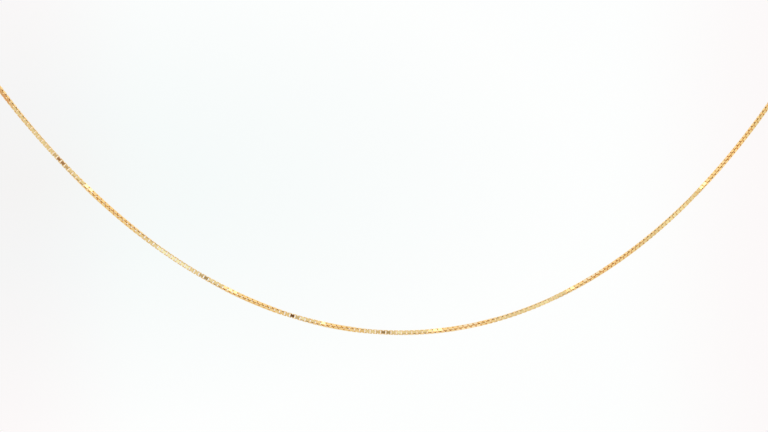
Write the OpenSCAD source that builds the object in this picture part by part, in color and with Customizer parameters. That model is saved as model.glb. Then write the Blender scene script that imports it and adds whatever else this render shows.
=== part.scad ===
/* [Chain] */
// Width of the square chain, flat to flat
chain_w = 0.7; // [0.5:0.05:1]
// Corner clipped off the chain's square section
chain_clip = 0.13; // [0.08:0.01:0.18]
// Length of the closed necklace, clasp included
necklace_l = 457; // [435:1:520]

/* [Hanging front] */
// Radius of the front's curve at its lowest point
hang_r = 57.5; // [50:0.5:68]
// Half the width of the stretch that hangs free
hang_half_w = 63.5; // [58:0.5:68]

/* [Neck] */
// Radius of the bend over each shoulder
shoulder_r = 12; // [8:0.5:18]

/* [Clasp] */
// Outer diameter of the clasp's ring
clasp_d = 5.5; // [5:0.1:8]
// Thickness of the clasp's ring
clasp_t = 1.1; // [0.9:0.05:1.3]
// Outer diameter of the eye on the clasp
clasp_eye_d = 2.2; // [2:0.1:3]
// Wire of the eye on the clasp
clasp_eye_t = 0.5; // [0.4:0.05:0.6]
// Diameter of the clasp's collars
collar_d = 1.4; // [1.35:0.05:1.6]
// Width of each collar along the ring
collar_w = 0.5; // [0.3:0.05:0.8]
// Diameter of the clasp's thumb knob
knob_d = 0.8; // [0.6:0.05:1]
// Height of the knob above the ring's middle
knob_h = 1.4; // [1.1:0.05:1.8]

/* [Rings] */
// Outer diameter of the eye soldered to each end of the chain
chain_eye_d = 1.8; // [1.7:0.05:2.4]
// Wire of the eyes on the chain
chain_eye_t = 0.3; // [0.25:0.05:0.45]
// Outer diameter of the jump ring that holds the clasp
jump_ring_d = 2.8; // [2.6:0.1:4]
// Wire of the jump ring
jump_ring_t = 0.5; // [0.4:0.05:0.6]
// Outer diameter of the end ring that the clasp closes on
end_ring_d = 3.8; // [3.7:0.1:5]
// Wire of the end ring
end_ring_t = 0.6; // [0.45:0.05:0.65]
// Gap between pieces that hang in each other
play = 0.1; // [0.05:0.01:0.15]

/* [Hidden] */

// Turn of the chain about its own length. Each row is a place along the hanging stretch, as
// a share of its half length from the lowest point, and the turn there in degrees.
TWIST = [
    [-1.30, 90],
    [-0.98, 24],
    [-0.80, -4],
    [-0.73, -27],
    [-0.67, -47],
    [-0.43, -95],
    [-0.30, -137],
    [-0.24, -185],
    [-0.14, -227],
    [-0.05, -275],
    [0.07, -297],
    [0.15, -321],
    [0.33, -367],
    [0.44, -416],
    [0.70, -458],
    [0.85, -512],
    [1.00, -533],
    [1.30, -540],
];

// Rings of the tube along half the front, one shoulder bend and half the back
FRONT_STEPS = 17;
SHOULDER_STEPS = 8;
NAPE_STEPS = 14;
// How quickly the climb from the front eases off behind the shoulder
EASE = 2;
// Least and most depth of the back, as shares of the necklace's length
DEPTH_RANGE = [0.02, 0.4];
// How closely that depth is found, as a share of the chain's width
DEPTH_FIT = 0.001;

$fn = 48;
GOLD = [0.93, 0.70, 0.33];

function cosh(x) = (exp(x) + exp(-x)) / 2;
function sinh(x) = (exp(x) - exp(-x)) / 2;
function asinh(x) = ln(x + sqrt(x * x + 1));
function unit(v) = v / norm(v);
function last(list) = list[len(list) - 1];
function mid_r(outer_d, wire) = (outer_d - wire) / 2;

// Distance between the centres of two rings that pull on each other, crosswise
function hooked(d1, t1, d2, t2) = mid_r(d1, t1) + mid_r(d2, t2) - (t1 + t2) / 2 - play;

// Distance run from the first point to each point of a path
function runs(path) = [
    for (
        i = 0, run = 0;
        i < len(path);
        i = i + 1, run = run + (i < len(path) ? norm(path[i] - path[i - 1]) : 0)
    ) run
];

// The closure, from the chain's left end to its right end, laid along X
solder = chain_eye_t / 2;
clasp_solder = clasp_eye_t / 2;
jump_ring_step = hooked(chain_eye_d, chain_eye_t, jump_ring_d, jump_ring_t);
clasp_eye_step = hooked(jump_ring_d, jump_ring_t, clasp_eye_d, clasp_eye_t);
clasp_step = (clasp_d + clasp_eye_d) / 2 - clasp_solder;
end_ring_step = hooked(clasp_d, clasp_t, end_ring_d, end_ring_t);
last_eye_step = hooked(end_ring_d, end_ring_t, chain_eye_d, chain_eye_t);
eye_reach = chain_eye_d / 2 - solder;
closure_l = 2 * eye_reach + jump_ring_step + clasp_eye_step + clasp_step
    + end_ring_step + last_eye_step;
closure_x = closure_l / 2;
left_eye_x = -closure_x + eye_reach;
jump_ring_x = left_eye_x + jump_ring_step;
clasp_eye_x = jump_ring_x + clasp_eye_step;
clasp_x = clasp_eye_x + clasp_step;
end_ring_x = clasp_x + end_ring_step;
right_eye_x = end_ring_x + last_eye_step;

// The free front is a catenary
hang_u = hang_half_w / hang_r;
hang_half_l = hang_r * sinh(hang_u);
hang_slope = sinh(hang_u);
hang_h = hang_r * (cosh(hang_u) - 1);
side_x = hang_half_w + shoulder_r;

// One half of the hidden stretch, seen from above: a round bend, then part of an oval
function hidden_plan(depth) = concat(
    [
        for (i = [1:SHOULDER_STEPS])
            let (a = 90 * i / SHOULDER_STEPS)
                [hang_half_w + shoulder_r * sin(a), shoulder_r * (1 - cos(a))]
    ],
    [
        for (i = [1:NAPE_STEPS])
            let (a = 90 * i / NAPE_STEPS)
                [closure_x + (side_x - closure_x) * cos(a), shoulder_r + depth * sin(a)]
    ]
);

// Lifts that half to its height: it leaves the front at the front's slope and ends level
function hidden_half(depth) =
    let (
        plan = hidden_plan(depth),
        run = runs(concat([[hang_half_w, 0]], plan)),
        climb = hang_slope * last(run) / (EASE + 1)
    )
    [
        for (i = [0:len(plan) - 1])
            [
                plan[i].x,
                plan[i].y,
                hang_h + climb * (1 - pow(1 - run[i + 1] / last(run), EASE + 1)),
            ]
    ];

function hidden_l(depth) = last(runs(concat([[hang_half_w, 0, hang_h]], hidden_half(depth))));

// Depth of the oval at which the whole loop has its length, found by halving the range
hidden_half_l = necklace_l / 2 - hang_half_l - closure_x;
function fit_depth(low, high) =
    let (middle = (low + high) / 2)
    high - low < DEPTH_FIT * chain_w ? middle
        : hidden_l(middle) < hidden_half_l ? fit_depth(middle, high)
        : fit_depth(low, middle);
nape_depth = fit_depth(DEPTH_RANGE[0] * necklace_l, DEPTH_RANGE[1] * necklace_l);

front_half = [
    for (i = [0:FRONT_STEPS])
        let (u = asinh(hang_slope * i / FRONT_STEPS))
            [hang_r * u, 0, hang_r * (cosh(u) - 1)]
];
right_half = concat(front_half, hidden_half(nape_depth));
left_half = [for (i = [len(right_half) - 1:-1:1]) [-right_half[i].x, right_half[i].y, right_half[i].z]];
route = concat(left_half, right_half);
route_run = runs(route);
middle_run = route_run[len(left_half)];

// The origin is the middle of the neck, level with the nape
nape_h = last(right_half).z;
back_y = last(right_half).y;
neck_centre = [0, back_y / 2, nape_h];

// The chain's square section with clipped corners
half_w = chain_w / 2;
flat = half_w - chain_clip;
section = [
    [half_w, -flat], [half_w, flat], [flat, half_w], [-flat, half_w],
    [-half_w, flat], [-half_w, -flat], [-flat, -half_w], [flat, -half_w],
];
SIDES = len(section);

// The section at one point of the route, square to it and turned by the chain's twist
function tube_ring(i) =
    let (
        ahead = route[min(i + 1, len(route) - 1)],
        behind = route[max(i - 1, 0)],
        along = unit(ahead - behind),
        level = unit(cross([0, 0, 1], along)),
        upright = cross(along, level),
        turn = lookup((route_run[i] - middle_run) / hang_half_l, TWIST)
    )
    [
        for (p = section)
            route[i]
                + level * (p.x * cos(turn) - p.y * sin(turn))
                + upright * (p.x * sin(turn) + p.y * cos(turn))
    ];

module tube() {
    points = [for (i = [0:len(route) - 1]) each tube_ring(i)];
    walls = [
        for (i = [0:len(route) - 2], j = [0:SIDES - 1])
            let (a = i * SIDES + j, b = i * SIDES + (j + 1) % SIDES)
                each [[a, a + SIDES, b + SIDES], [a, b + SIDES, b]]
    ];
    first_end = [for (j = [0:SIDES - 1]) j];
    last_end = [for (j = [SIDES - 1:-1:0]) (len(route) - 1) * SIDES + j];
    polyhedron(points = points, faces = concat([first_end], walls, [last_end]), convexity = 10);
}

// A round wire ring that stands in the XZ plane
module ring(outer_d, wire)
    rotate([90, 0, 0])
        rotate_extrude()
            translate([mid_r(outer_d, wire), 0])
                circle(d = wire);

// Puts a piece of the closure at its place along the nape
module at_nape(x) translate([x, back_y, nape_h]) children();

module chain() {
    color(GOLD)
        translate(-neck_centre) {
            tube();
            at_nape(left_eye_x) ring(chain_eye_d, chain_eye_t);
            at_nape(right_eye_x) ring(chain_eye_d, chain_eye_t);
        }
}

module jump_ring() {
    color(GOLD)
        translate(-neck_centre)
            at_nape(jump_ring_x)
                rotate([90, 0, 0])
                    ring(jump_ring_d, jump_ring_t);
}

// Directions of the two collars and the knob round the clasp's ring, from its closing side
COLLAR_TURNS = [38, 322];
KNOB_TURN = 62;

// Places a piece on the middle line of the clasp's ring, with Z along that line
module on_clasp(turn)
    rotate([0, -turn, 0])
        translate([mid_r(clasp_d, clasp_t), 0, 0])
            children();

// A flat button on a stem that is rooted inside the ring's wall
module knob() {
    root = clasp_t / 5;
    button_h = knob_d / 2;
    translate([0, 0, root]) cylinder(d = knob_d / 2, h = knob_h - root);
    translate([0, 0, knob_h - button_h / 2]) cylinder(d = knob_d, h = button_h);
}

module clasp() {
    color(GOLD)
        translate(-neck_centre) {
            at_nape(clasp_x) {
                ring(clasp_d, clasp_t);
                for (turn = COLLAR_TURNS)
                    on_clasp(turn)
                        cylinder(d = collar_d, h = collar_w, center = true);
                on_clasp(KNOB_TURN)
                    rotate([90, 0, 0])
                        knob();
            }
            at_nape(clasp_eye_x) ring(clasp_eye_d, clasp_eye_t);
        }
}

module end_ring() {
    color(GOLD)
        translate(-neck_centre)
            at_nape(end_ring_x)
                rotate([90, 0, 0])
                    ring(end_ring_d, end_ring_t);
}

chain();
jump_ring();
clasp();
end_ring();
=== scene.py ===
"""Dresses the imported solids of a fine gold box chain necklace.

The chain hangs in a catenary at the front, goes round the neck and closes with a spring ring at
the nape. Every link of the chain is modelled. Sizes are in metres, in the solids' own frame.
"""

import logging
import math
from collections.abc import Iterable
from dataclasses import dataclass, field
from enum import Enum
from functools import cached_property
from random import Random
from typing import NamedTuple, TypeVar

import bmesh
import bpy
import numpy as np
from mathutils import Matrix, Vector


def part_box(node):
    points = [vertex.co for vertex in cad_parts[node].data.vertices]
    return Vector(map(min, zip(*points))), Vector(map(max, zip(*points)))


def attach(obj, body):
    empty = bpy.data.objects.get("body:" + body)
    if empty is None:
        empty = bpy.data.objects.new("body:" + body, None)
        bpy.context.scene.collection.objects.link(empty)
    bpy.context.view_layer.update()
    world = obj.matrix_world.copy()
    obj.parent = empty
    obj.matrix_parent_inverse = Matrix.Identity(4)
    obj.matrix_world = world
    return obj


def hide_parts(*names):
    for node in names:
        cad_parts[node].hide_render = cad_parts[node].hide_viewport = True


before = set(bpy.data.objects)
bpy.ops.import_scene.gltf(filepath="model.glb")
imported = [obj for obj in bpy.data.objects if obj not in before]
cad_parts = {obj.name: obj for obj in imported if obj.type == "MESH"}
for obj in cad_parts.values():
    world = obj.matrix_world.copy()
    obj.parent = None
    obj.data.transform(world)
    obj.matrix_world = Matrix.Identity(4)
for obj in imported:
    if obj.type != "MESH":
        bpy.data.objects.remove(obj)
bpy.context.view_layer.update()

MM = 0.001
BODY = "root"
LOG = logging.getLogger("box_chain_necklace")

Colour = tuple[float, float, float]
Place = tuple[float, float, float]
BMPart = TypeVar("BMPart", bmesh.types.BMEdge, bmesh.types.BMFace)

# How much of a face's normal lies along an axis that it faces, and one that it is square to
FACING = 0.9
SQUARE = 0.999
# Lays a ring flat that was bent standing up
LAID_FLAT = Matrix.Rotation(math.pi / 2, 4, "X")


class Socket(str, Enum):
    """Names of shader sockets that the finishes set."""

    BASE = "Base Color"
    METALLIC = "Metallic"
    ROUGHNESS = "Roughness"
    NORMAL = "Normal"


class TwistRow(NamedTuple):
    """The chain's turn about its own length at one place.

    The place is a share of the hanging stretch's half length, from the lowest point.
    """

    share: float
    degrees: float


# Chosen one by one: the rows lie close together where the photograph shows how the chain turns
TWIST = (
    TwistRow(-1.300, 90.0),
    TwistRow(-0.982, 24.0),
    TwistRow(-0.946, 16.0),
    TwistRow(-0.907, 9.0),
    TwistRow(-0.885, 4.5),
    TwistRow(-0.843, 1.5),
    TwistRow(-0.820, -1.9),
    TwistRow(-0.786, -8.8),
    TwistRow(-0.753, -16.0),
    TwistRow(-0.729, -27.0),
    TwistRow(-0.669, -47.0),
    TwistRow(-0.629, -58.0),
    TwistRow(-0.598, -70.0),
    TwistRow(-0.570, -79.0),
    TwistRow(-0.546, -84.0),
    TwistRow(-0.510, -86.0),
    TwistRow(-0.466, -87.3),
    TwistRow(-0.454, -88.8),
    TwistRow(-0.442, -90.5),
    TwistRow(-0.430, -98.2),
    TwistRow(-0.371, -117.0),
    TwistRow(-0.304, -137.0),
    TwistRow(-0.280, -153.0),
    TwistRow(-0.262, -167.0),
    TwistRow(-0.238, -186.5),
    TwistRow(-0.225, -188.7),
    TwistRow(-0.173, -207.0),
    TwistRow(-0.140, -227.3),
    TwistRow(-0.078, -270.0),
    TwistRow(-0.050, -275.5),
    TwistRow(-0.025, -279.0),
    TwistRow(0.067, -297.0),
    TwistRow(0.150, -320.8),
    TwistRow(0.197, -350.0),
    TwistRow(0.223, -354.0),
    TwistRow(0.297, -359.0),
    TwistRow(0.316, -362.0),
    TwistRow(0.329, -370.0),
    TwistRow(0.358, -383.0),
    TwistRow(0.388, -394.0),
    TwistRow(0.437, -415.6),
    TwistRow(0.543, -434.0),
    TwistRow(0.579, -442.0),
    TwistRow(0.614, -447.0),
    TwistRow(0.653, -449.0),
    TwistRow(0.686, -452.5),
    TwistRow(0.704, -458.0),
    TwistRow(0.731, -476.0),
    TwistRow(0.848, -511.6),
    TwistRow(0.941, -530.0),
    TwistRow(1.300, -540.0),
)


class Stand(NamedTuple):
    """A place on the chain's line and the three directions there."""

    place: Vector
    along: Vector
    level: Vector
    upright: Vector


def unit_rows(rows: np.ndarray) -> np.ndarray:
    """Scales each row of an array to length one."""
    return rows / np.linalg.norm(rows, axis=1)[:, None]


def run_of(points: np.ndarray) -> np.ndarray:
    """Measures the way along a path.

    Args:
        points: One row for each point.

    Returns:
        The distance run from the first point to each point.
    """
    steps = np.linalg.norm(np.diff(points, axis=0), axis=1)
    return np.concatenate([[0.0], np.cumsum(steps)])


@dataclass(frozen=True)
class NeckRoute:
    """The line of the chain: a catenary in front, a round bend at each shoulder, an oval behind.

    Attributes:
        nape_y: How far the nape lies behind the middle of the neck.
        closure_x: Half the length of the closure, which each end of the chain comes up to.
        hang_r: Radius of the front's curve at its lowest point.
        hang_half_w: Half the width of the stretch that hangs free.
        shoulder_r: Radius of the bend over each shoulder.
        ease: How quickly the climb from the front eases off behind the shoulder.
        steps: Number of points along each half's front, bend and oval.
    """

    nape_y: float
    closure_x: float
    hang_r: float = 57.5 * MM
    hang_half_w: float = 63.5 * MM
    shoulder_r: float = 12.0 * MM
    ease: int = 2
    steps: int = 900

    @property
    def hang_half_l(self) -> float:
        """Length of half the free-hanging stretch."""
        return self.hang_r * math.sinh(self.hang_half_w / self.hang_r)

    @cached_property
    def right_half(self) -> np.ndarray:
        """Points from the lowest one, at the origin, to the chain's right end at the nape."""
        u = np.linspace(0.0, self.hang_half_w / self.hang_r, self.steps)
        front = np.column_stack([u, 0.0 * u, np.cosh(u) - 1.0]) * self.hang_r
        turn = np.linspace(0.0, math.pi / 2, self.steps)
        bend = np.column_stack([
            self.hang_half_w + self.shoulder_r * np.sin(turn),
            self.shoulder_r * (1.0 - np.cos(turn)),
        ])
        side_x = self.hang_half_w + self.shoulder_r
        depth = 2.0 * self.nape_y - self.shoulder_r
        oval = np.column_stack([
            self.closure_x + (side_x - self.closure_x) * np.cos(turn),
            self.shoulder_r + depth * np.sin(turn),
        ])
        plan = np.vstack([bend, oval[1:]])
        run = run_of(plan)
        left = 1.0 - run / run[-1]
        slope = math.sinh(self.hang_half_w / self.hang_r)
        climb = slope * run[-1] / (self.ease + 1) * (1.0 - left ** (self.ease + 1))
        hidden = np.column_stack([plan, front[-1, 2] + climb])
        return np.vstack([front, hidden[1:]])

    @cached_property
    def line(self) -> np.ndarray:
        """Points of the whole line in the solids' frame, from the left end to the right one."""
        right = self.right_half
        left = right[:0:-1] * np.array([-1.0, 1.0, 1.0])
        nape = np.array([0.0, self.nape_y, right[-1, 2]])
        return np.vstack([left, right]) - nape

    @cached_property
    def run(self) -> np.ndarray:
        """Signed distance of each point of the line from the lowest one."""
        run = run_of(self.line)
        return run - run[-1] / 2.0

    @cached_property
    def along(self) -> np.ndarray:
        """Direction of the line at each point."""
        return unit_rows(np.gradient(self.line, self.run, axis=0))

    @property
    def half_l(self) -> float:
        """Half the length of the line."""
        return float(self.run[-1])

    @property
    def lowest(self) -> Vector:
        """The lowest point of the hanging front."""
        return Vector((0.0, -self.nape_y, float(self.line[:, 2].min())))

    def stand_at(self, run: float) -> Stand:
        """Finds the place and the directions at a distance along the line.

        Args:
            run: Signed distance from the lowest point.

        Returns:
            The place, with one direction along the line, one level and one upright.
        """
        place = [float(np.interp(run, self.run, self.line[:, k])) for k in range(3)]
        along = Vector([float(np.interp(run, self.run, self.along[:, k])) for k in range(3)])
        along.normalize()
        level = Vector((0.0, 0.0, 1.0)).cross(along).normalized()
        return Stand(Vector(place), along, level, along.cross(level))


class NodeBench:
    """Adds and links the nodes of one material or world."""

    def __init__(self, tree: bpy.types.NodeTree) -> None:
        """Empties the tree."""
        self.tree = tree
        tree.nodes.clear()

    def add(self, kind: str, **values: object) -> bpy.types.Node:
        """Adds a node.

        Args:
            kind: Blender's name for the type of node.
            **values: Settings of the node, or the defaults of its inputs by index, as in_0=1.

        Returns:
            The new node.
        """
        node = self.tree.nodes.new(kind)
        for name, value in values.items():
            if name.startswith("in_"):
                node.inputs[int(name[3:])].default_value = value
            else:
                setattr(node, name, value)
        return node

    def link(self, source: bpy.types.NodeSocket, target: bpy.types.NodeSocket) -> None:
        """Joins an output to an input."""
        self.tree.links.new(source, target)

    def fade(
        self, source: bpy.types.NodeSocket, start: float, end: float
    ) -> bpy.types.NodeSocket:
        """Adds a smooth step from nought to one.

        Args:
            source: The value that it follows.
            start: The value at which the step begins.
            end: The value at which it is done.

        Returns:
            The step's output.
        """
        step = self.add(
            "ShaderNodeMapRange", in_1=start, in_2=end, interpolation_type="SMOOTHSTEP"
        )
        self.link(source, step.inputs[0])
        return step.outputs[0]

    def measure(
        self, place: bpy.types.NodeSocket, operation: str, **values: object
    ) -> bpy.types.NodeSocket:
        """Adds a measure of a place, such as its distance from a point.

        Args:
            place: The place.
            operation: Blender's name for the measure.
            **values: What it is measured against, as in_1=point.

        Returns:
            The measure's output.
        """
        node = self.add("ShaderNodeVectorMath", operation=operation, **values)
        self.link(place, node.inputs[0])
        return node.outputs["Value"]

    def mapped(
        self, place: bpy.types.NodeSocket, shift: Place, scale: Place
    ) -> bpy.types.NodeSocket:
        """Adds a scaled and shifted copy of a place.

        Args:
            place: The place.
            shift: What is added to it once it is scaled.
            scale: What it is multiplied by.

        Returns:
            The copy's output.
        """
        node = self.add("ShaderNodeMapping", in_1=shift, in_3=scale)
        self.link(place, node.inputs[0])
        return node.outputs[0]

    def noise(
        self, place: bpy.types.NodeSocket, size: float, detail: float
    ) -> bpy.types.NodeSocket:
        """Adds a noise pattern.

        Args:
            place: The place that it follows.
            size: Rough size of its patches.
            detail: How many finer patterns lie in it.

        Returns:
            The pattern's output.
        """
        node = self.add("ShaderNodeTexNoise")
        node.inputs["Scale"].default_value = 1.0 / size
        node.inputs["Detail"].default_value = detail
        self.link(place, node.inputs["Vector"])
        return node.outputs[0]

    def scaled(
        self,
        source: bpy.types.NodeSocket,
        factor: float,
        plus: bpy.types.NodeSocket | None = None,
    ) -> bpy.types.NodeSocket:
        """Adds a value times a factor, with another value on top where one is given.

        Args:
            source: The value.
            factor: What it is multiplied by.
            plus: The value on top.

        Returns:
            The sum's output.
        """
        operation = "MULTIPLY" if plus is None else "MULTIPLY_ADD"
        node = self.add("ShaderNodeMath", operation=operation, in_1=factor)
        self.link(source, node.inputs[0])
        if plus is not None:
            self.link(plus, node.inputs[2])
        return node.outputs[0]

    def tint(
        self,
        share: bpy.types.NodeSocket,
        first: Colour | bpy.types.NodeSocket,
        second: Colour,
        way: str = "MIX",
    ) -> bpy.types.NodeSocket:
        """Adds a mix of two colours.

        Args:
            share: How far the second takes over.
            first: A colour, or the output that gives one.
            second: A colour.
            way: Blender's name for how they mix.

        Returns:
            The mixed colour's output.
        """
        node = self.add("ShaderNodeMix", data_type="RGBA", blend_type=way)
        node.inputs["B"].default_value = (*second, 1.0)
        self.link(share, node.inputs["Factor"])
        if isinstance(first, tuple):
            node.inputs["A"].default_value = (*first, 1.0)
        else:
            self.link(first, node.inputs["A"])
        return node.outputs["Result"]

    def cleared(
        self, share: bpy.types.NodeSocket, surface: bpy.types.NodeSocket
    ) -> bpy.types.NodeSocket:
        """Adds a surface that gives way to nothing at all.

        Args:
            share: How far it has cleared.
            surface: The surface.

        Returns:
            The output of the two together.
        """
        clear = self.add("ShaderNodeBsdfTransparent")
        node = self.add("ShaderNodeMixShader")
        self.link(share, node.inputs[0])
        self.link(surface, node.inputs[1])
        self.link(clear.outputs[0], node.inputs[2])
        return node.outputs[0]

    def close(
        self, surface: bpy.types.NodeSocket, kind: str = "ShaderNodeOutputMaterial"
    ) -> None:
        """Gives the tree its output.

        Args:
            surface: What it shows.
            kind: Blender's name for the type of output.
        """
        self.link(surface, self.add(kind).inputs[0])


def new_finish(name: str) -> tuple[bpy.types.Material, NodeBench]:
    """Starts a material.

    Args:
        name: Name of the material.

    Returns:
        The material and the bench that its nodes are added on.
    """
    made = bpy.data.materials.new(name)
    made.use_nodes = True
    return made, NodeBench(made.node_tree)


@dataclass(frozen=True)
class PolishedGold:
    """Yellow gold with a fine polish: faint rosy patches, hairline scratches, and recesses that
    are rougher and darkened with painted shade.

    Attributes:
        name: Name of the material.
        colour: The gold where it is yellowest.
        rosy: The gold where it is rosiest.
        recess_shade: The gold inside the links, painted darker there as shade.
        roughness: Roughness where the gold is yellowest.
        roughness_spread: What is added to it where the gold is rosiest.
        recess_roughness: What is added to it inside the links.
        patch_size: Rough size of the patches.
        patch_detail: How many finer patterns lie in the patches.
        scratch_size: Rough size of the scratches.
        scratch_detail: How many finer patterns lie in the scratches.
        scratch_depth: How deep the scratches are.
        scratch_strength: How much of that depth shows.
    """

    name: str
    colour: Colour
    rosy: Colour
    recess_shade: Colour
    roughness: float = 0.06
    roughness_spread: float = 0.08
    recess_roughness: float = 0.10
    patch_size: float = 2.4 * MM
    patch_detail: float = 3.0
    scratch_size: float = 0.05 * MM
    scratch_detail: float = 2.0
    scratch_depth: float = 0.005 * MM
    scratch_strength: float = 0.06

    def material(self) -> bpy.types.Material:
        """Builds the material.

        Returns:
            A material whose pattern follows Object coordinates and the mesh's own attributes:
            tone, a share for each link, and recess_shade, which is one inside the links, where
            the gold gets painted shade and more roughness.
        """
        made, bench = new_finish(self.name)
        shader = bench.add("ShaderNodeBsdfPrincipled")
        shader.inputs[Socket.METALLIC.value].default_value = 1.0
        bench.close(shader.outputs[0])

        where = bench.add("ShaderNodeTexCoord").outputs["Object"]
        tone = bench.add("ShaderNodeAttribute", attribute_name="tone").outputs["Fac"]
        recess_shade = bench.add("ShaderNodeAttribute", attribute_name="recess_shade").outputs["Fac"]
        patches = bench.noise(where, self.patch_size, self.patch_detail)
        # Half of the rosiness goes from link to link, and half in patches
        share = bench.scaled(tone, 0.5, plus=bench.scaled(patches, 0.5))
        warm = bench.tint(share, self.colour, self.rosy)
        # Painted shade: the gold inside the links is darkened towards the recess colour
        shaded_gold = bench.tint(recess_shade, warm, self.recess_shade)
        bench.link(shaded_gold, shader.inputs[Socket.BASE.value])

        rough = bench.add(
            "ShaderNodeMapRange",
            in_3=self.roughness,
            in_4=self.roughness + self.roughness_spread,
        )
        bench.link(share, rough.inputs[0])
        matt = bench.scaled(recess_shade, self.recess_roughness, plus=rough.outputs[0])
        bench.link(matt, shader.inputs[Socket.ROUGHNESS.value])

        bump = bench.add("ShaderNodeBump")
        bump.inputs["Strength"].default_value = self.scratch_strength
        bump.inputs["Distance"].default_value = self.scratch_depth
        hairs = bench.noise(where, self.scratch_size, self.scratch_detail)
        bench.link(hairs, bump.inputs["Height"])
        bench.link(bump.outputs[0], shader.inputs[Socket.NORMAL.value])
        return made


def mark_faces(mesh: bpy.types.Mesh, name: str, values: np.ndarray) -> None:
    """Stores one number for each face under a name that the finishes read.

    Args:
        mesh: The mesh to mark.
        name: Name of the attribute.
        values: As many numbers as the mesh has faces.
    """
    layer = mesh.attributes.new(name, "FLOAT", "FACE")
    layer.data.foreach_set("value", values.astype(np.float32))


def place_piece(
    name: str, mesh: bpy.types.Mesh, finish: bpy.types.Material, node: str
) -> None:
    """Puts a finished mesh in the scene as a piece that stands for a solid.

    Args:
        name: Name of the piece, which rides on the part's one body.
        mesh: Its mesh, already in place.
        finish: Its material.
        node: The solid that it replaces.
    """
    mesh.materials.clear()
    mesh.materials.append(finish)
    piece = bpy.data.objects.new(name, mesh)
    bpy.context.scene.collection.objects.link(piece)
    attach(piece, BODY)
    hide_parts(node)
    LOG.info("%s: %d faces", name, len(mesh.polygons))


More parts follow.
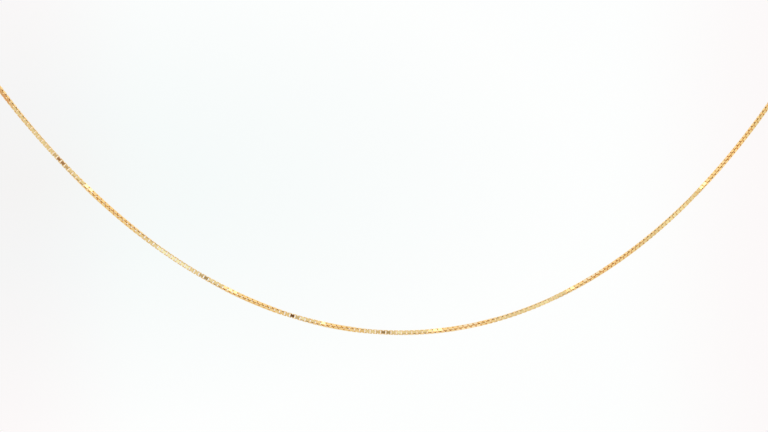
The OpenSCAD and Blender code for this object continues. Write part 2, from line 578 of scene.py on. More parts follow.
@dataclass
class BoxChain:
    """The string of square links, each turned a quarter from the one before.

    Attributes:
        route: The line that the chain follows.
        finish: The links' gold.
        end_wire: Wire of the eyes that the end links hang in.
        width: Width and height of a link.
        pitch: Distance from one link to the next.
        wall: Thickness of the strip that a link is bent from.
        play: Room that two links leave each other.
        corner: Rounding of a link's four bends.
        rim: Bevel along the strip's edges.
        end_pull: How far each end link is drawn out on its eye, as a share of the play.
        looseness: Spread of the links' turns about their length, in degrees.
        seed: Start of the random draws.
        twist_samples: Number of points at which the twist is eased.
        twist_window: Number of those points that it is eased over, which is odd.
    """

    route: NeckRoute
    finish: bpy.types.Material
    end_wire: float
    width: float = 0.70 * MM
    pitch: float = 0.4225 * MM
    wall: float = 0.115 * MM
    play: float = 0.05 * MM
    corner: float = 0.05 * MM
    rim: float = 0.02 * MM
    end_pull: float = 0.9
    looseness: float = 0.6
    seed: int = 7
    twist_samples: int = 4001
    twist_window: int = 15

    @property
    def strip(self) -> float:
        """Width of the strip that a link is bent from: it just passes through the next link."""
        return self.width - 2.0 * self.wall - self.play

    @property
    def length(self) -> float:
        """Outer length of a link."""
        return self.pitch + 2.0 * self.wall + self.play

    def link_mesh(self) -> bpy.types.Mesh:
        """Models one link round the origin, its length along X and its opening along Y.

        Returns:
            The mesh, with an attribute that tells the polished outside from the bore.
        """
        bm = bmesh.new()
        bore_layer = bm.faces.layers.int.new("bore")
        bmesh.ops.create_cube(bm, size=1.0)
        bmesh.ops.scale(bm, vec=(self.length, self.strip, self.width), verts=bm.verts)
        bm.normal_update()
        ends = [f for f in bm.faces if abs(f.normal.y) > FACING]
        bmesh.ops.inset_individual(bm, faces=ends, thickness=self.wall, use_even_offset=True)
        mouths = [e for f in ends for e in f.edges]
        bmesh.ops.delete(bm, geom=ends, context="FACES_ONLY")
        for face in bmesh.ops.bridge_loops(bm, edges=mouths)["faces"]:
            face[bore_layer] = 1

        def outer(vert: bmesh.types.BMVert) -> bool:
            """Tells whether a corner is on the link's outer form."""
            return abs(vert.co.x) > self.length / 2 - self.wall / 2 and (
                abs(vert.co.z) > self.width / 2 - self.wall / 2
            )

        corners = [
            e for e in bm.edges
            if all(outer(v) for v in e.verts)
            and abs(e.verts[0].co.y - e.verts[1].co.y) > self.strip / 2
        ]
        bmesh.ops.bevel(
            bm, geom=corners, offset=self.corner, segments=2, profile=0.5,
            affect="EDGES", material=-1, clamp_overlap=True,
        )
        bm.normal_update()
        rims = [
            e for e in bm.edges
            if len(e.link_faces) == 2
            and sum(abs(f.normal.y) > FACING for f in e.link_faces) == 1
            and not any(f[bore_layer] for f in e.link_faces)
        ]
        bmesh.ops.bevel(
            bm, geom=rims, offset=self.rim, segments=1, profile=0.5,
            affect="EDGES", material=-1, clamp_overlap=True,
        )
        bmesh.ops.recalc_face_normals(bm, faces=bm.faces)
        for face in bm.faces:
            face.smooth = True
        mesh = bpy.data.meshes.new("link")
        bm.to_mesh(mesh)
        bm.free()
        return mesh

    @staticmethod
    def even_normals(link: bpy.types.Mesh, bore: np.ndarray) -> np.ndarray:
        """Works out shading that keeps a link's plates flat and rounds the strip's edges.

        Args:
            link: The single link.
            bore: For each face, one inside the link and zero outside.

        Returns:
            One normal for each corner of each face.
        """
        normals = [face.normal.copy() for face in link.polygons]
        plate = [max(abs(n.x), abs(n.z)) > SQUARE and not b for n, b in zip(normals, bore)]
        met: list[list[int]] = [[] for _ in link.vertices]
        for face in link.polygons:
            for vert in face.vertices:
                met[vert].append(face.index)
        made = []
        for face in link.polygons:
            for vert in face.vertices:
                near = [k for k in met[vert] if plate[k]] or met[vert]
                if plate[face.index] or bore[face.index]:
                    near = [face.index]
                made.append(sum((normals[k] for k in near), Vector()).normalized())
        return np.array(made)

    def runs(self) -> np.ndarray:
        """Places the links' middles along the route, with the end links drawn out on the eyes.

        Returns:
            Signed distances from the lowest point, an even number of them, so that both end
            links lie open to the eyes that hang in them.
        """
        reach = self.end_wire / 2 + self.wall
        last = self.route.half_l + reach - self.length / 2
        count = 2 * round((2 * last / self.pitch + 1) / 2)
        runs = np.linspace(-last, last, count)
        runs[[0, -1]] += np.array([-1.0, 1.0]) * self.end_pull * self.play
        return runs

    def turns(self, runs: np.ndarray) -> np.ndarray:
        """Reads the chain's twist at each link.

        Args:
            runs: The links' places along the route.

        Returns:
            Turns in radians, eased between the rows of the table.
        """
        rows = np.array(TWIST)
        fine = np.linspace(-self.route.half_l, self.route.half_l, self.twist_samples)
        raw = np.interp(fine / self.route.hang_half_l, rows[:, 0], rows[:, 1])
        window = np.hanning(self.twist_window)
        padded = np.pad(raw, self.twist_window // 2, mode="edge")
        eased = np.convolve(padded, window / window.sum(), mode="valid")
        return np.radians(np.interp(runs, fine, eased))

    def places(self) -> list[Matrix]:
        """Works out where each link goes.

        Returns:
            One place for each link. A link is turned a little about its length, as its play
            lets it, and tilted half as much. The end links are drawn straight by their eyes.
        """
        runs = self.runs()
        turns = self.turns(runs)
        chance = Random(self.seed)
        made = []
        for index, (run, turn) in enumerate(zip(runs, turns)):
            stand = self.route.stand_at(float(run))
            base = Matrix((stand.along, stand.level, stand.upright)).transposed().to_4x4()
            inner = 0 < index < len(runs) - 1
            tilt = [math.radians(chance.gauss(0.0, self.looseness)) * inner for _ in range(3)]
            quarter = math.pi / 2 * (index % 2)
            loose = (
                Matrix.Rotation(tilt[0] + turn + quarter, 4, "X")
                @ Matrix.Rotation(tilt[1] / 2, 4, "Y")
                @ Matrix.Rotation(tilt[2] / 2, 4, "Z")
            )
            made.append(Matrix.Translation(stand.place) @ base @ loose)
        return made

    def build(self) -> None:
        """Joins all the links into one piece."""
        link = self.link_mesh()
        bore = np.zeros(len(link.polygons), dtype=np.int32)
        link.attributes["bore"].data.foreach_get("value", bore)
        link.attributes.remove(link.attributes["bore"])
        normals = self.even_normals(link, bore)
        places = self.places()
        bm = bmesh.new()
        for place in places:
            copy = link.copy()
            copy.transform(place)
            bm.from_mesh(copy)
            bpy.data.meshes.remove(copy)
        mesh = bpy.data.meshes.new("chain_links")
        bm.to_mesh(mesh)
        bm.free()
        chance = Random(self.seed + 1)
        tones = np.array([chance.random() for _ in places])
        mark_faces(mesh, "tone", np.repeat(tones, len(link.polygons)))
        # Marks the faces inside the links, where the finish paints shade and adds roughness
        mark_faces(mesh, "recess_shade", np.tile(bore, len(places)))
        turned = [normals @ np.array(place.to_3x3()).T for place in places]
        mesh.normals_split_custom_set(np.vstack(turned).tolist())
        bpy.data.meshes.remove(link)
        place_piece("chain_links", mesh, self.finish, "chain")
        LOG.info("chain: %d links, pitch %.4f mm", len(places), self.pitch / MM)


def each_once(parts: Iterable[BMPart]) -> list[BMPart]:
    """Lists parts of a form without repeats.

    Args:
        parts: The parts.

    Returns:
        Each part once, in the order that they come in, which a set wouldn't keep.
    """
    return list(dict.fromkeys(parts))


class Ring(NamedTuple):
    """Sizes of a wire ring: its outer diameter and its wire."""

    outer_d: float
    wire: float

    @property
    def middle_r(self) -> float:
        """Radius of the wire's middle line."""
        return (self.outer_d - self.wire) / 2


class Wire(NamedTuple):
    """A length of round wire bent to a ring.

    Attributes:
        ring_r: Radius of its middle line.
        thick: Its thickness.
        start: Where it starts, in degrees from the direction of X up towards Z.
        sweep: How far it goes round, in degrees.
        sides: Number of sides of its section.
        steps: Number of steps along it.
    """

    ring_r: float
    thick: float
    start: float = 0.0
    sweep: float = 360.0
    sides: int = 20
    steps: int = 96

    def bend(self, bm: bmesh.types.BMesh) -> list[bmesh.types.BMVert]:
        """Spins the wire's round section about Y, from the direction of X up towards Z.

        Args:
            bm: The form to add to.

        Returns:
            The new points.
        """
        before = set(bm.verts)
        whole = self.sweep >= 360.0
        place = (
            Matrix.Rotation(math.radians(-self.start), 4, "Y")
            @ Matrix.Translation((self.ring_r, 0.0, 0.0))
        )
        bmesh.ops.create_circle(bm, segments=self.sides, radius=self.thick / 2, matrix=place)
        section = [v for v in bm.verts if v not in before]
        edges = each_once(e for v in section for e in v.link_edges)
        bmesh.ops.spin(
            bm, geom=section + edges, cent=(0.0, 0.0, 0.0), axis=(0.0, -1.0, 0.0),
            angle=math.radians(min(self.sweep, 360.0)), steps=self.steps, use_merge=whole,
        )
        new = [v for v in bm.verts if v not in before]
        if not whole:
            open_edges = each_once(e for v in new for e in v.link_edges if e.is_boundary)
            bmesh.ops.holes_fill(bm, edges=open_edges, sides=0)
        return new


def nape_y() -> float:
    """Reads how far the closure's middle line lies behind the middle of the neck."""
    low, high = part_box("jump_ring")
    return (low.y + high.y) / 2


@dataclass
class Closure:
    """The pieces at the nape: an eye on each chain end, a jump ring, a clasp and an end ring.

    Attributes:
        finish: The pieces' gold.
        chain_eye: The small eye soldered to each end of the chain.
        jump: The ring that joins chain and clasp.
        jump_gap: The hairline gap in it, in degrees.
        jump_gap_turn: Where the gap lies, in degrees from the side of the clasp.
        jump_end_round: Rounding of the wire's two ends at the gap.
        end: The ring that the clasp closes on.
        swelling: How much its wire swells at the solder, as a share.
        case: The clasp's ring.
        bolt_t: Thickness of the bolt that shuts it.
        mouth: Half the opening that the bolt shuts, in degrees.
        collar_d: Diameter of the collar on each side of the opening.
        collar_w: Width of a collar along the ring.
        collar_round: Rounding of a collar's rims.
        knob_turn: Where the thumb knob stands, in degrees from the middle of the opening.
        knob_d: Diameter of the knob's button.
        knob_h: Height of the button's middle above the ring's middle line.
        knob_round: Rounding of the button's rims.
        slot_sweep: Length of the slot that the knob slides in, in degrees.
        slot_w: Width of the slot.
        slot_lip: Width of the lip round the slot, and of the edge round its floor.
        slot_depth: Depth of the slot.
        clasp_eye: The eye soldered to the clasp.
        solder: Length, width and height of the solder between the two, as shares of the eye's
            wire.
        play: Room between rings that hang in each other.
        crease: Angle in degrees from which an edge stays crisp.
    """

    finish: bpy.types.Material
    chain_eye: Ring = Ring(1.8 * MM, 0.3 * MM)
    jump: Ring = Ring(2.8 * MM, 0.5 * MM)
    jump_gap: float = 1.4
    jump_gap_turn: float = 65.0
    jump_end_round: float = 0.025 * MM
    end: Ring = Ring(3.8 * MM, 0.6 * MM)
    swelling: float = 0.035
    case: Ring = Ring(5.5 * MM, 1.1 * MM)
    bolt_t: float = 0.86 * MM
    mouth: float = 38.0
    collar_d: float = 1.4 * MM
    collar_w: float = 0.5 * MM
    collar_round: float = 0.09 * MM
    knob_turn: float = 62.0
    knob_d: float = 0.8 * MM
    knob_h: float = 1.4 * MM
    knob_round: float = 0.11 * MM
    slot_sweep: float = 30.0
    slot_w: float = 0.46 * MM
    slot_lip: float = 0.02 * MM
    slot_depth: float = 0.14 * MM
    clasp_eye: Ring = Ring(2.2 * MM, 0.5 * MM)
    solder: Place = (0.72, 1.12, 1.55)
    play: float = 0.1 * MM
    crease: float = 35.0

    @property
    def clasp_step(self) -> float:
        """Distance from the middle of the clasp's eye to the middle of its ring."""
        return (self.case.outer_d + self.clasp_eye.outer_d) / 2 - self.clasp_eye.wire / 2

    @property
    def half_l(self) -> float:
        """Half the length of the closure, between the middles of the eyes' soldered wires."""
        return self.chain_eye.middle_r + (
            self.hooked(self.chain_eye, self.jump)
            + self.hooked(self.jump, self.clasp_eye)
            + self.clasp_step
            + self.hooked(self.case, self.end)
            + self.hooked(self.end, self.chain_eye)
        ) / 2

    def hooked(self, first: Ring, second: Ring) -> float:
        """Finds how far apart two rings lie that pull on each other, crosswise.

        Args:
            first: One ring.
            second: The other ring.

        Returns:
            The distance between their middles.
        """
        room = first.middle_r + second.middle_r
        return room - (first.wire + second.wire) / 2 - self.play

    @staticmethod
    def middle_x(node: str) -> float:
        """Reads where the middle of a solid of the closure lies along the nape."""
        low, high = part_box(node)
        return (low.x + high.x) / 2

    @staticmethod
    def at_nape(x: float) -> Matrix:
        """Gives the place at a distance along the nape's line."""
        return Matrix.Translation((x, nape_y(), 0.0))

    def finished(
        self, name: str, bm: bmesh.types.BMesh, place: Matrix, node: str
    ) -> None:
        """Moves a form to its place and dresses it as a piece.

        Args:
            name: Name of the piece.
            bm: Its form, which is freed.
            place: Where it goes.
            node: The solid that it replaces.
        """
        bmesh.ops.transform(bm, matrix=place, verts=bm.verts)
        bmesh.ops.recalc_face_normals(bm, faces=bm.faces)
        for face in bm.faces:
            face.smooth = True
        for edge in bm.edges:
            edge.smooth = edge.calc_face_angle(0.0) < math.radians(self.crease)
        mesh = bpy.data.meshes.new(name)
        bm.to_mesh(mesh)
        bm.free()
        place_piece(name, mesh, self.finish, node)

    def chain_eyes(self) -> None:
        """Makes the small soldered eyes that the chain's end links hang in."""
        left = self.middle_x("jump_ring") - self.hooked(self.chain_eye, self.jump)
        right = self.middle_x("end_ring") + self.hooked(self.chain_eye, self.end)
        for name, x in (("left_chain_eye", left), ("right_chain_eye", right)):
            bm = bmesh.new()
            Wire(self.chain_eye.middle_r, self.chain_eye.wire, sides=16, steps=56).bend(bm)
            self.finished(name, bm, self.at_nape(x), "chain")

    def jump_ring(self) -> None:
        """Makes the ring that joins chain and clasp, bent shut to a hairline gap."""
        bm = bmesh.new()
        start = self.jump_gap_turn + self.jump_gap / 2
        Wire(self.jump.middle_r, self.jump.wire, start, 360.0 - self.jump_gap).bend(bm)
        ends = [f for f in bm.faces if len(f.verts) > 4]
        rims = [e for f in ends for e in f.edges]
        bmesh.ops.bevel(
            bm, geom=rims, offset=self.jump_end_round, segments=2, profile=0.5,
            affect="EDGES", material=-1,
        )
        place = self.at_nape(self.middle_x("jump_ring")) @ LAID_FLAT
        self.finished("jump_ring_wire", bm, place, "jump_ring")

    def end_ring(self) -> None:
        """Makes the soldered ring that the clasp closes on, with its faint solder swelling."""
        bm = bmesh.new()
        ring_r = self.end.middle_r
        Wire(ring_r, self.end.wire, sides=24, steps=112).bend(bm)
        seam = Vector((ring_r, 0.0, 0.0))
        for vert in bm.verts:
            away = (vert.co - seam).length / self.end.wire
            core = Vector((vert.co.x, 0.0, vert.co.z)).normalized() * ring_r
            vert.co = core + (vert.co - core) * (1.0 + self.swelling * math.exp(-(away**4)))
        place = self.at_nape(self.middle_x("end_ring")) @ LAID_FLAT
        self.finished("end_ring_wire", bm, place, "end_ring")

    def on_case(self, turn: float) -> Matrix:
        """Gives the place on the clasp ring's middle line at a turn, with Z along that line."""
        return (
            Matrix.Rotation(math.radians(-turn), 4, "Y")
            @ Matrix.Translation((self.case.middle_r, 0.0, 0.0))
        )

    def clasp_case(self, bm: bmesh.types.BMesh) -> None:
        """Bends the clasp's tube and presses the knob's slot into its flank.

        Args:
            bm: The form to add to.
        """
        ring_r = self.case.middle_r
        sweep = 360.0 - 2.0 * self.mouth
        case = set(Wire(ring_r, self.case.wire, self.mouth, sweep, sides=28, steps=128).bend(bm))
        bmesh.ops.recalc_face_normals(bm, faces=bm.faces)
        first = self.knob_turn - math.degrees(self.slot_w / 2 / ring_r)
        slot = []
        for face in bm.faces:
            middle = face.calc_center_median()
            turn = math.degrees(math.atan2(middle.z, middle.x)) % 360.0
            across = math.hypot(middle.x, middle.z) - ring_r
            if (
                all(v in case for v in face.verts) and len(face.verts) == 4 and middle.y < 0.0
                and first < turn < first + self.slot_sweep and abs(across) < self.slot_w / 2
            ):
                slot.append(face)
        bmesh.ops.inset_region(bm, faces=slot, thickness=self.slot_lip, use_even_offset=True)
        bmesh.ops.inset_region(bm, faces=slot, thickness=0.0, depth=-self.slot_depth)
        bmesh.ops.inset_region(bm, faces=slot, thickness=self.slot_lip, use_even_offset=True)

    def clasp_knob(self, bm: bmesh.types.BMesh) -> None:
        """Adds the thumb knob, a flat button on a stem that is rooted inside the case.

        Args:
            bm: The form to add to.
        """
        knob = self.on_case(self.knob_turn) @ LAID_FLAT
        root = self.case.wire / 5
        button_h = self.knob_d / 2
        stem_h = self.knob_h - button_h / 2 - root
        stem = knob @ Matrix.Translation((0.0, 0.0, root + stem_h / 2))
        self.turned(bm, self.knob_d / 4, stem_h, stem)
        button = knob @ Matrix.Translation((0.0, 0.0, self.knob_h))
        self.turned(bm, self.knob_d / 2, button_h, button, self.knob_round)

    def clasp_loop(self, bm: bmesh.types.BMesh) -> None:
        """Adds the clasp's eye and the solder that holds it to the case.

        Args:
            bm: The form to add to.
        """
        wire = self.clasp_eye.wire
        eye = bmesh.new()
        Wire(self.clasp_eye.middle_r, wire, steps=72).bend(eye)
        bmesh.ops.translate(eye, vec=(-self.clasp_step, 0.0, 0.0), verts=eye.verts)
        shaped = bpy.data.meshes.new("clasp_eye")
        eye.to_mesh(shaped)
        eye.free()
        bm.from_mesh(shaped)
        bpy.data.meshes.remove(shaped)
        joint = Matrix.Translation((-self.case.outer_d / 2 + wire / 4, 0.0, 0.0))
        made = bmesh.ops.create_uvsphere(
            bm, u_segments=24, v_segments=14, radius=wire / 2, matrix=joint
        )["verts"]
        bmesh.ops.scale(bm, vec=self.solder, space=joint.inverted(), verts=made)

    def clasp(self) -> None:
        """Makes the spring ring: case, bolt, two collars, knob and eye."""
        bm = bmesh.new()
        self.clasp_case(bm)
        ring_r = self.case.middle_r
        Wire(ring_r, self.bolt_t, -self.mouth, 2.0 * self.mouth, sides=28, steps=40).bend(bm)
        for turn in (self.mouth, -self.mouth):
            collar = self.on_case(turn)
            self.turned(bm, self.collar_d / 2, self.collar_w, collar, self.collar_round)
        self.clasp_knob(bm)
        self.clasp_loop(bm)
        place = self.at_nape(self.middle_x("end_ring") - self.hooked(self.case, self.end))
        self.finished("spring_ring_clasp", bm, place, "clasp")

    @staticmethod
    def turned(
        bm: bmesh.types.BMesh, radius: float, length: float, place: Matrix, bevel: float = 0.0
    ) -> None:
        """Adds a short turned bar with softened rims.

        Args:
            bm: The form to add to.
            radius: Its radius.
            length: Its length.
            place: Its middle, with Z along its axis.
            bevel: How far its rims are softened.
        """
        made = bmesh.ops.create_cone(
            bm, cap_ends=True, segments=32, radius1=radius, radius2=radius, depth=length,
            matrix=place,
        )["verts"]
        if bevel:
            caps = each_once(f for v in made for f in v.link_faces if len(f.verts) > 4)
            rims = [e for f in caps for e in f.edges]
            bmesh.ops.bevel(
                bm, geom=rims, offset=bevel, segments=3, profile=0.5,
                affect="EDGES", material=-1,
            )

    def build(self) -> None:
        """Makes every piece of the closure."""
        self.chain_eyes()
        self.jump_ring()
        self.end_ring()
        self.clasp()


def direction(azimuth: float, elevation: float) -> Vector:
    """Turns a bearing into a unit direction.

    Args:
        azimuth: Degrees from straight in front, towards the right.
        elevation: Degrees above level.

    Returns:
        The direction, with X to the right and the front towards minus Y.
    """
    turn, rise = math.radians(azimuth), math.radians(elevation)
    return Vector((
        math.sin(turn) * math.cos(rise),
        -math.cos(turn) * math.cos(rise),
        math.sin(rise),
    ))


def stage_piece(
    name: str, bm: bmesh.types.BMesh, finish: bpy.types.Material
) -> bpy.types.Object:
    """Puts a form in the scene as part of the set.

    Args:
        name: Name of the object.
        bm: Its form, which is freed.
        finish: Its material.

    Returns:
        The new object.
    """
    mesh = bpy.data.meshes.new(name)
    bm.to_mesh(mesh)
    bm.free()
    mesh.materials.append(finish)
    made = bpy.data.objects.new(name, mesh)
    bpy.context.scene.collection.objects.link(made)
    return made


@dataclass(frozen=True)
class SoftLight:
    """A rectangular soft light that faces the chain and that the camera doesn't see.

    Attributes:
        name: Name of the light.
        azimuth: Its bearing from the chain, in degrees from straight in front.
        elevation: Its height above level, in degrees.
        distance: Its distance from the chain.
        across: Its width.
        tall: Its height.
        brightness: How bright its face is, as a share of white.
    """

    name: str
    azimuth: float
    elevation: float
    distance: float
    across: float
    tall: float
    brightness: float

    def hang(self, subject: Vector) -> None:
        """Adds the light.

        Args:
            subject: The point that it faces.
        """
        data = bpy.data.lights.new(self.name, "AREA")
        data.shape = "RECTANGLE"
        data.size = self.across
        data.size_y = self.tall
        data.energy = self.brightness * math.pi * self.across * self.tall
        light = bpy.data.objects.new(self.name, data)
        way = direction(self.azimuth, self.elevation)
        light.location = subject + way * self.distance
        light.rotation_euler = way.to_track_quat("Z", "Y").to_euler()
        light.visible_camera = False
        bpy.context.scene.collection.objects.link(light)


@dataclass(frozen=True)
class SoftCard:
    """A round card with a soft edge, of one even tone, seen only in the gold that faces it.

    Attributes:
        name: Name of the card.
        azimuth: Its bearing from the chain, in degrees from straight in front.
        elevation: Its height above level, in degrees.
        core: Radius of its full tone.
        rim: Radius at which it has cleared.
        tone: Its tone, which it glows with.
        distance: Its distance from the chain.
    """

    name: str
    azimuth: float
    elevation: float
    core: float
    rim: float
    tone: Colour
    distance: float = 1.6

    def finish(self, middle: Vector) -> bpy.types.Material:
        """Builds the card's finish.

        Args:
            middle: The card's middle.

        Returns:
            A material of the card's tone that clears from its core to its rim.
        """
        made, bench = new_finish(self.name)
        where = bench.add("ShaderNodeTexCoord").outputs["Object"]
        edge = bench.fade(bench.measure(where, "DISTANCE", in_1=middle), self.core, self.rim)
        glow = bench.add("ShaderNodeEmission", in_0=(*self.tone, 1.0), in_1=1.0)
        bench.close(bench.cleared(edge, glow.outputs[0]))
        return made

    def hang(self, subject: Vector) -> None:
        """Hangs the card.

        Args:
            subject: The point that it faces.
        """
        way = direction(self.azimuth, self.elevation)
        middle = subject + way * self.distance
        bm = bmesh.new()
        bmesh.ops.create_circle(bm, cap_ends=True, segments=32, radius=self.rim)
        turn = Matrix.Translation(middle) @ way.to_track_quat("Z", "Y").to_matrix().to_4x4()
        bmesh.ops.transform(bm, matrix=turn, verts=bm.verts)
        card = stage_piece(self.name, bm, self.finish(middle))
        card.visible_camera = False
        card.visible_shadow = False
        card.visible_diffuse = False


@dataclass(frozen=True)
class Backdrop:
    """A pale dome that only the camera sees, darkest in one wide oval and rosy at both sides.

    Attributes:
        radius: Radius of the dome.
        oval_x: How far the oval's middle lies to the right.
        oval_z: How far it lies above the middle of the neck.
        oval_half_w: Half the oval's width.
        oval_half_h: Half its height.
        middle_tone: Tone in the oval's middle.
        ring_tone: Tone at a ring inside the oval.
        ring_share: Where that ring lies, as a share of the way from the middle to the edge.
        outer_tone: Tone from the oval's edge on.
        rosy: What the tones are multiplied by at both sides.
        rosy_x: How far the middle between those sides lies to the right.
        rosy_fade: How far from there each side begins and is full.
    """

    radius: float = 4.0
    oval_x: float = -0.798
    oval_z: float = 0.228
    oval_half_w: float = 2.1
    oval_half_h: float = 0.95
    middle_tone: Colour = (0.915, 0.945, 0.935)
    ring_tone: Colour = (0.922, 0.960, 0.955)
    ring_share: float = 0.3
    outer_tone: Colour = (0.985, 0.995, 0.990)
    rosy: Colour = (0.99, 0.95, 0.955)
    rosy_x: float = 0.55
    rosy_fade: tuple[float, float] = (0.85, 1.45)

    def finish(self) -> bpy.types.Material:
        """Builds the dome's finish.

        Returns:
            A material that glows evenly, whatever light falls on it.
        """
        made, bench = new_finish("pale_backdrop")
        where = bench.add("ShaderNodeTexCoord").outputs["Object"]
        oval = bench.mapped(
            where,
            shift=(-self.oval_x / self.oval_half_w, 0.0, -self.oval_z / self.oval_half_h),
            scale=(1.0 / self.oval_half_w, 0.0, 1.0 / self.oval_half_h),
        )
        tone = bench.add("ShaderNodeValToRGB")
        ramp = tone.color_ramp.elements
        ramp[0].color = (*self.middle_tone, 1.0)
        ramp[1].color = (*self.outer_tone, 1.0)
        ramp.new(self.ring_share).color = (*self.ring_tone, 1.0)
        bench.link(bench.measure(oval, "LENGTH"), tone.inputs[0])
        across = bench.mapped(where, shift=(-self.rosy_x, 0.0, 0.0), scale=(1.0, 0.0, 0.0))
        side = bench.fade(bench.measure(across, "LENGTH"), *self.rosy_fade)
        glow = bench.add("ShaderNodeEmission", in_1=1.0)
        bench.link(bench.tint(side, tone.outputs[0], self.rosy, "MULTIPLY"), glow.inputs[0])
        bench.close(glow.outputs[0])
        return made

    def hang(self) -> None:
        """Closes the set with the dome."""
        bm = bmesh.new()
        bmesh.ops.create_uvsphere(bm, u_segments=64, v_segments=32, radius=self.radius)
        dome = stage_piece("backdrop", bm, self.finish())
        dome.visible_glossy = False
        dome.visible_diffuse = False
        dome.visible_shadow = False


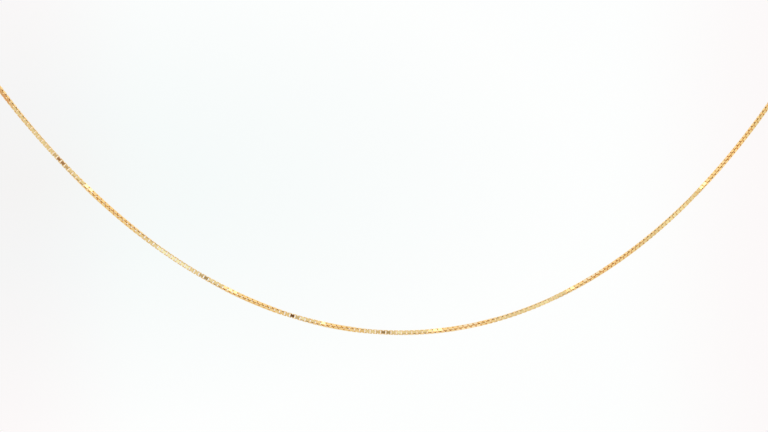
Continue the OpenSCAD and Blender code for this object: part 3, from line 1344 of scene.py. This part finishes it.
@dataclass
class Studio:
    """The camera, the floor, the backdrop and the light.

    Attributes:
        lowest: The chain's lowest point.
        distance: The camera's distance from the point that it looks at.
        aim: That point, seen from the chain's lowest one.
        yaw: How far the camera is turned to the right, in degrees.
        rise: How far it looks up, in degrees.
        roll: How far it leans, in degrees.
        view_angle: Width of its view, in degrees.
        sensor: Width of its sensor, in millimetres.
        floor_drop: How far the floor lies below the chain.
        floor_r: Radius of the floor.
        floor_fade: How far from the frame's origin it begins to clear and has cleared.
        floor_tone: Tone of the floor.
        room: Brightness of the room.
        front: Brightness of the room's front, which faces the chain.
        front_fade: How much of a direction points to the front where that tone begins, and
            where it is full.
        backdrop: What the camera sees behind the chain.
        lights: The soft lights.
        cards: The cards that the gold mirrors.
    """

    lowest: Vector
    distance: float = 169.5 * MM
    aim: Vector = field(default_factory=lambda: Vector((-3.377, 0.0, 18.711)) * MM)
    yaw: float = 8.08
    rise: float = 2.63
    roll: float = -0.14
    view_angle: float = 40.0
    sensor: float = 36.0
    floor_drop: float = 120.0 * MM
    floor_r: float = 0.6
    floor_fade: tuple[float, float] = (0.22, 0.56)
    floor_tone: Colour = (0.83, 0.835, 0.83)
    room: Colour = (1.04, 1.04, 1.04)
    front: Colour = (0.81, 0.89, 0.98)
    front_fade: tuple[float, float] = (0.3, 0.8)
    backdrop: Backdrop = Backdrop()
    lights: tuple[SoftLight, ...] = (
        SoftLight("strip_above", 0.0, 49.0, 0.45, 0.80, 0.10, 1.25),
    )
    cards: tuple[SoftCard, ...] = (
        SoftCard("dark_card", 4.5, 8.0, 0.08, 0.20, (0.09, 0.025, 0.005)),
        SoftCard("dark_card_right", 12.5, 9.0, 0.04, 0.13, (0.22, 0.12, 0.06)),
        SoftCard("brown_card", -2.0, 13.0, 0.06, 0.20, (0.24, 0.08, 0.05)),
        SoftCard("tan_card", 0.0, -20.0, 0.28, 0.46, (0.78, 0.71, 0.60)),
        SoftCard("pale_card_left", -9.5, -6.5, 0.09, 0.17, (1.00, 1.30, 1.75)),
        SoftCard("pale_card_right", 22.0, 2.0, 0.17, 0.32, (0.92, 1.10, 1.28)),
        SoftCard("pale_card_up", 9.5, 17.5, 0.03, 0.12, (0.95, 1.22, 1.65)),
        SoftCard("pale_card_above", -90.0, 82.0, 0.30, 0.62, (0.98, 1.14, 1.75)),
        SoftCard("pale_card_below", 90.0, -61.0, 0.022, 0.042, (1.05, 1.18, 1.55), 0.101),
        SoftCard("warm_card", -47.0, -13.0, 0.12, 0.38, (0.72, 0.50, 0.45)),
        SoftCard("back_card_left", -150.0, 12.0, 0.20, 0.75, (0.22, 0.17, 0.12)),
        SoftCard("back_card_right", 152.0, -16.0, 0.20, 0.70, (0.22, 0.17, 0.12)),
        SoftCard("side_card_left", -112.0, 4.0, 0.12, 0.40, (0.16, 0.11, 0.07)),
        SoftCard("side_card_right", 116.0, 18.0, 0.12, 0.40, (0.16, 0.11, 0.07)),
    )

    @property
    def subject(self) -> Vector:
        """The middle of the chain's front."""
        return self.lowest + Vector((0.0, 0.0, self.aim.z))

    def camera(self) -> None:
        """Sets up the camera as the photograph was taken: close, and a little from the left."""
        data = bpy.data.cameras.new("camera")
        data.sensor_width = self.sensor
        data.lens = self.sensor / 2 / math.tan(math.radians(self.view_angle / 2))
        data.clip_start = 0.01
        data.clip_end = 50.0
        camera = bpy.data.objects.new("camera", data)
        turn = (
            Matrix.Rotation(math.radians(-self.yaw), 4, "Z")
            @ Matrix.Rotation(math.radians(90.0 + self.rise), 4, "X")
            @ Matrix.Rotation(math.radians(self.roll), 4, "Z")
        )
        ahead = turn.to_3x3() @ Vector((0.0, 0.0, -1.0))
        place = self.lowest + self.aim - ahead * self.distance
        camera.matrix_world = Matrix.Translation(place) @ turn
        bpy.context.scene.collection.objects.link(camera)
        bpy.context.scene.camera = camera

    def floor(self) -> None:
        """Lays the pale floor, which fades into the backdrop towards its rim."""
        finish, bench = new_finish("pale_floor")
        where = bench.add("ShaderNodeTexCoord").outputs["Object"]
        edge = bench.fade(bench.measure(where, "LENGTH"), *self.floor_fade)
        matt = bench.add("ShaderNodeBsdfDiffuse", in_0=(*self.floor_tone, 1.0))
        bench.close(bench.cleared(edge, matt.outputs[0]))
        bm = bmesh.new()
        bmesh.ops.create_circle(bm, cap_ends=True, segments=96, radius=self.floor_r)
        bmesh.ops.translate(bm, vec=(0.0, 0.0, self.lowest.z - self.floor_drop), verts=bm.verts)
        stage_piece("floor", bm, finish)

    def light(self) -> None:
        """Fills the room with pale light, a little less in front, and hangs lights and cards."""
        scene = bpy.context.scene
        scene.view_settings.view_transform = "Standard"
        scene.world = bpy.data.worlds.new("pale_room")
        scene.world.use_nodes = True
        bench = NodeBench(scene.world.node_tree)
        way = bench.add("ShaderNodeTexCoord").outputs["Generated"]
        ahead = bench.measure(way, "DOT_PRODUCT", in_1=(0.0, -1.0, 0.0))
        tone = bench.tint(bench.fade(ahead, *self.front_fade), self.room, self.front)
        glow = bench.add("ShaderNodeBackground", in_1=1.0)
        bench.link(tone, glow.inputs[0])
        bench.close(glow.outputs[0], "ShaderNodeOutputWorld")
        for fitting in (*self.lights, *self.cards):
            fitting.hang(self.subject)

    def build(self) -> None:
        """Sets up the whole studio."""
        self.camera()
        self.floor()
        self.backdrop.hang()
        self.light()


CHAIN_GOLD = PolishedGold(
    "polished_chain_gold",
    colour=(0.96, 0.70, 0.305),
    rosy=(0.95, 0.62, 0.25),
    # Painted shade: the darker gold inside the links
    recess_shade=(0.72, 0.33, 0.06),
)

CLASP_GOLD = PolishedGold(
    "polished_clasp_gold",
    colour=(0.96, 0.71, 0.32),
    rosy=(0.95, 0.65, 0.27),
    # Painted shade: the darker gold inside the links
    recess_shade=(0.72, 0.33, 0.06),
    roughness=0.10,
    roughness_spread=0.12,
    patch_size=1.1 * MM,
)


def main() -> None:
    """Builds the studio and every piece, in order."""
    logging.basicConfig(level=logging.INFO, format="%(name)s: %(message)s")
    closure = Closure(CLASP_GOLD.material())
    route = NeckRoute(nape_y(), closure.half_l)
    Studio(route.lowest).build()
    BoxChain(route, CHAIN_GOLD.material(), closure.chain_eye.wire).build()
    closure.build()


if __name__ == "__main__":
    main()
